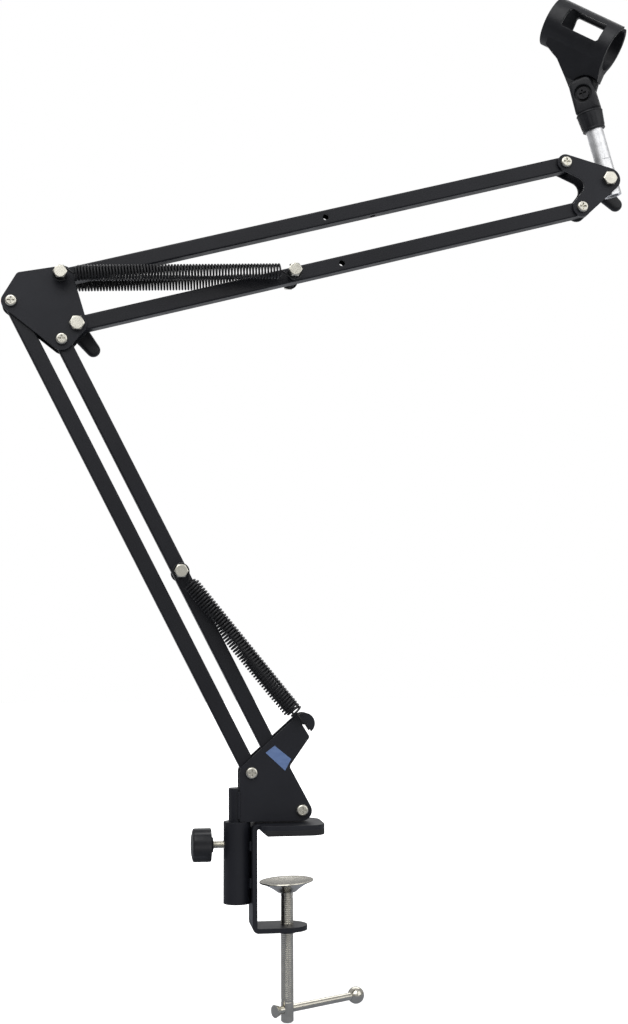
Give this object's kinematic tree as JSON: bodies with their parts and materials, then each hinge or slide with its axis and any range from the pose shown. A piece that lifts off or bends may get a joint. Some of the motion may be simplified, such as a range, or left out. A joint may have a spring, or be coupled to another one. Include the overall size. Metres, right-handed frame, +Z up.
{
  "type": "microphone boom arm",
  "caption": "Spring-balanced scissor arm that clamps to a desk edge, with two parallel-bar stages, a swivel base and a tilting round clip that holds a microphone.",
  "frame": {"origin": "on the clamp's desk face, the underside of the top jaw's pad, on the clamp screw's axis", "axes": "+Z up along the clamp screw, +X out of the clamp's throat along the arm's plane, +Y to the back"},
  "size_m": [0.4287, 0.0636, 0.6907],
  "materials": {
    "powder_black": "satin black powder coat over steel",
    "bar_black": "satin black coated square steel tube",
    "spring_black": "black coated spring wire",
    "nickel": "nickel plated fastener",
    "bright_steel": "bright plated steel",
    "post_alloy": "polished turned aluminium",
    "moulded_black": "moulded black nylon",
    "dark_steel": "blackened steel",
    "jaw_rubber": "black rubber",
    "clear_nylon": "natural nylon washer",
    "label_blue": "plain slate-blue film"
  },
  "bodies": {
    "clamp": {"clamp_frame": "powder_black", "jaw_pad": "jaw_rubber", "socket_tube": "powder_black", "socket_welds": "powder_black"},
    "pressure_pad": {"pressure_pad": "bright_steel"},
    "clamp_screw": {"clamp_screw": "bright_steel"},
    "tommy_bar": {"tommy_bar": "bright_steel", "tommy_ball": "bright_steel", "tommy_cap": "bright_steel"},
    "lock_screw": {"lock_screw": "nickel"},
    "lock_knob": {"lock_knob": "moulded_black"},
    "base": {"base_post": "powder_black", "post_welds": "powder_black", "base_plate_front": "powder_black", "base_plate_back": "powder_black", "base_pivot_screws": "nickel", "base_pivot_nuts": "nickel", "base_washers": "clear_nylon", "blank_label": "label_blue"},
    "lower_outer_bar": {"lower_outer_bar": "bar_black"},
    "lower_inner_bar": {"lower_inner_bar": "bar_black", "lower_spring_bolt": "nickel", "lower_spring_nut": "nickel", "lower_spring_bushes": "moulded_black", "lower_spring_front": "spring_black", "lower_spring_back": "spring_black"},
    "elbow": {"elbow_plate_front": "powder_black", "elbow_plate_back": "powder_black", "elbow_pivot_screws": "nickel", "elbow_pivot_nuts": "nickel", "elbow_washers": "clear_nylon", "elbow_bolt_washers": "clear_nylon", "elbow_spring_bolt": "nickel", "elbow_spring_nut": "nickel", "elbow_spring_bushes": "moulded_black", "elbow_lock_bolt": "nickel"},
    "elbow_wing": {"elbow_wing_knob": "moulded_black"},
    "upper_bottom_bar": {"upper_bottom_bar": "bar_black", "upper_spring_bolt": "nickel", "upper_spring_nut": "nickel", "upper_spring_bushes": "moulded_black", "upper_spring_front": "spring_black", "upper_spring_back": "spring_black"},
    "upper_top_bar": {"upper_top_bar": "bar_black"},
    "head": {"head_plate_front": "powder_black", "head_plate_back": "powder_black", "head_pivot_screws": "nickel", "head_pivot_nuts": "nickel", "head_washers": "clear_nylon", "head_lock_bolt": "nickel"},
    "head_wing": {"head_wing_knob": "moulded_black"},
    "mic_post": {"mic_post": "post_alloy"},
    "clip_base": {"clip_base": "moulded_black", "clip_hinge_screw": "dark_steel", "clip_hinge_nut": "dark_steel"},
    "mic_clip": {"mic_clip": "moulded_black"}
  },
  "joints": [
    {"name": "base_swivel", "type": "hinge", "parent": "clamp", "child": "base", "pos_m": [-0.03215, 0, 0], "axis": [0, 0, 1], "continuous": true},
    {"name": "lower_arm", "type": "hinge", "parent": "base", "child": "lower_inner_bar", "pos_m": [0.00914, 0, 0.01439], "axis": [0, -1, 0], "range_deg": [-80, 8], "deforming": ["lower_spring_front", "lower_spring_back"]},
    {"name": "lower_outer_follow", "type": "hinge", "parent": "base", "child": "lower_outer_bar", "pos_m": [-0.02345, 0, 0.0386], "axis": [0, -1, 0], "range_deg": [-80, 8]},
    {"name": "elbow_level", "type": "hinge", "parent": "lower_inner_bar", "child": "elbow", "pos_m": [-0.1467, 0, 0.31815], "axis": [0, -1, 0], "range_deg": [-8, 80]},
    {"name": "upper_arm", "type": "hinge", "parent": "elbow", "child": "upper_bottom_bar", "pos_m": [-0.137, 0, 0.32865], "axis": [0, -1, 0], "range_deg": [-60, 68], "deforming": ["upper_spring_front", "upper_spring_back"]},
    {"name": "upper_top_follow", "type": "hinge", "parent": "elbow", "child": "upper_top_bar", "pos_m": [-0.14788, 0, 0.35991], "axis": [0, -1, 0], "range_deg": [-60, 68]},
    {"name": "head_level", "type": "hinge", "parent": "upper_bottom_bar", "child": "head", "pos_m": [0.2061, 0, 0.4202], "axis": [0, -1, 0], "range_deg": [-68, 60]},
    {"name": "elbow_wing_turn", "type": "hinge", "parent": "elbow", "child": "elbow_wing", "pos_m": [-0.137, 0, 0.32865], "axis": [0, 1, 0], "range_deg": [0, 120]},
    {"name": "head_wing_turn", "type": "hinge", "parent": "head", "child": "head_wing", "pos_m": [0.2261, 0, 0.4409], "axis": [0, 1, 0], "range_deg": [0, 120]},
    {"name": "post_tilt", "type": "hinge", "parent": "head", "child": "mic_post", "pos_m": [0.2261, 0, 0.4409], "axis": [0, -1, 0], "range_deg": [-105, 12]},
    {"name": "clip_swivel", "type": "hinge", "parent": "mic_post", "child": "clip_base", "pos_m": [0.22842, 0, 0.44152], "axis": [-0.2588, 0, 0.9659], "continuous": true},
    {"name": "clip_tilt", "type": "hinge", "parent": "clip_base", "child": "mic_clip", "pos_m": [0.21185, 0, 0.50334], "axis": [0.483, 0.866, 0.1294], "range_deg": [-91, 40]},
    {"name": "pad_travel", "type": "slide", "parent": "clamp", "child": "pressure_pad", "axis": [0, 0, 1], "range_m": [-0.01751, 0.02876]},
    {"name": "clamp_screw_turn", "type": "hinge", "parent": "pressure_pad", "child": "clamp_screw", "pos_m": [0, 0, 0], "axis": [0, 0, 1], "range_deg": [-5040, 8280]},
    {"name": "tommy_slide", "type": "slide", "parent": "clamp_screw", "child": "tommy_bar", "axis": [0.866, 0.5, 0], "range_m": [-0.047, 0.0025]},
    {"name": "lock_screw_travel", "type": "slide", "parent": "clamp", "child": "lock_screw", "axis": [1, 0, 0], "range_m": [-0.00241, 0]},
    {"name": "lock_knob_turn", "type": "hinge", "parent": "lock_screw", "child": "lock_knob", "pos_m": [-0.03215, 0, -0.007], "axis": [1, 0, 0], "range_deg": [-1080, 0]}
  ],
  "couplings": [
    {"joint": "lower_outer_follow", "follows": "lower_arm", "ratio": 1},
    {"joint": "elbow_level", "follows": "lower_arm", "ratio": -1},
    {"joint": "upper_top_follow", "follows": "upper_arm", "ratio": 1},
    {"joint": "head_level", "follows": "upper_arm", "ratio": -1},
    {"joint": "pad_travel", "follows": "clamp_screw_turn", "m_per_rad": 0.00019894},
    {"joint": "lock_screw_travel", "follows": "lock_knob_turn", "m_per_rad": 0.00012732}
  ]
}
